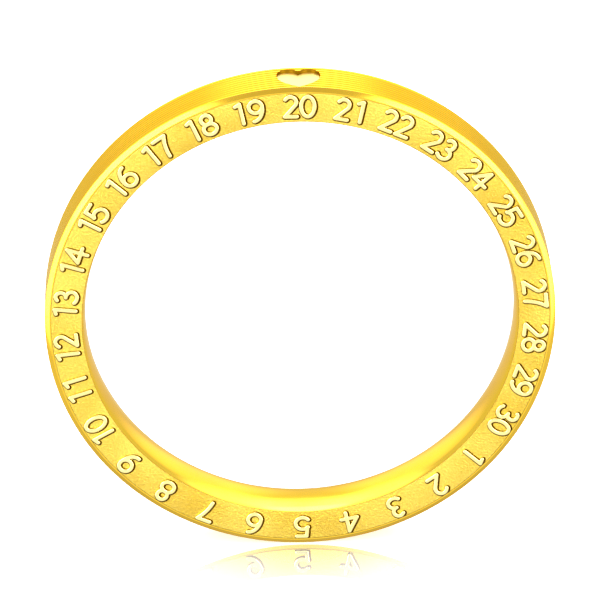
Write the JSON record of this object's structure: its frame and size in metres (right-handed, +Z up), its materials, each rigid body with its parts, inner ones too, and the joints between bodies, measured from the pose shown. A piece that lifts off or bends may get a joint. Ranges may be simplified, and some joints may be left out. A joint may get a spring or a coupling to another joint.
{
  "type": "row counter ring",
  "caption": "Finger ring that counts knitted rows: a turning outer band whose sunken heart points at a raised number on the front dial.",
  "frame": {"origin": "centre of the ring, on its axis and midway between its front and rear faces", "axes": "+Y runs along the ring's axis from the numbered face to the plain rear face, +Z is up through the heart at rest, +X is to the right as the numbers are read"},
  "size_m": [0.0206, 0.0021, 0.0206],
  "materials": {
    "polished_gold": "mirror polished yellow gold",
    "satin_gold": "fine sandblasted satin yellow gold",
    "lined_gold": "yellow gold with fine turned lines and a polished chamfer",
    "spring_steel": "hardened and ground",
    "ball_steel": "lapped bearing steel",
    "bronze": "turned bronze",
    "polymer": "moulded low-friction polymer"
  },
  "bodies": {
    "ring_core": {"finger_sleeve": "polished_gold", "number_dial": "satin_gold", "rear_ring": "satin_gold", "front_glide_ring": "polymer", "rear_glide_ring": "polymer", "click_spring": "spring_steel", "dial_pin_1": "spring_steel", "dial_pin_2": "spring_steel"},
    "index_band": {"index_band": "lined_gold"},
    "ball_race": {"ball_cage": "bronze", "race_ball_01": "ball_steel", "race_ball_02": "ball_steel", "race_ball_03": "ball_steel", "race_ball_04": "ball_steel", "race_ball_05": "ball_steel", "race_ball_06": "ball_steel", "race_ball_07": "ball_steel", "race_ball_08": "ball_steel", "race_ball_09": "ball_steel", "race_ball_10": "ball_steel", "race_ball_11": "ball_steel", "race_ball_12": "ball_steel", "race_ball_13": "ball_steel", "race_ball_14": "ball_steel", "race_ball_15": "ball_steel", "race_ball_16": "ball_steel", "race_ball_17": "ball_steel", "race_ball_18": "ball_steel", "race_ball_19": "ball_steel", "race_ball_20": "ball_steel"}
  },
  "joints": [
    {"name": "band_turn", "type": "hinge", "parent": "ring_core", "child": "index_band", "pos_m": [0, 0, 0], "axis": [0, 1, 0], "continuous": true, "deforming": ["click_spring"]},
    {"name": "race_turn", "type": "hinge", "parent": "ring_core", "child": "ball_race", "pos_m": [0, 0, 0], "axis": [0, 1, 0], "continuous": true}
  ],
  "couplings": [
    {"joint": "race_turn", "follows": "band_turn", "ratio": 0.5134}
  ]
}
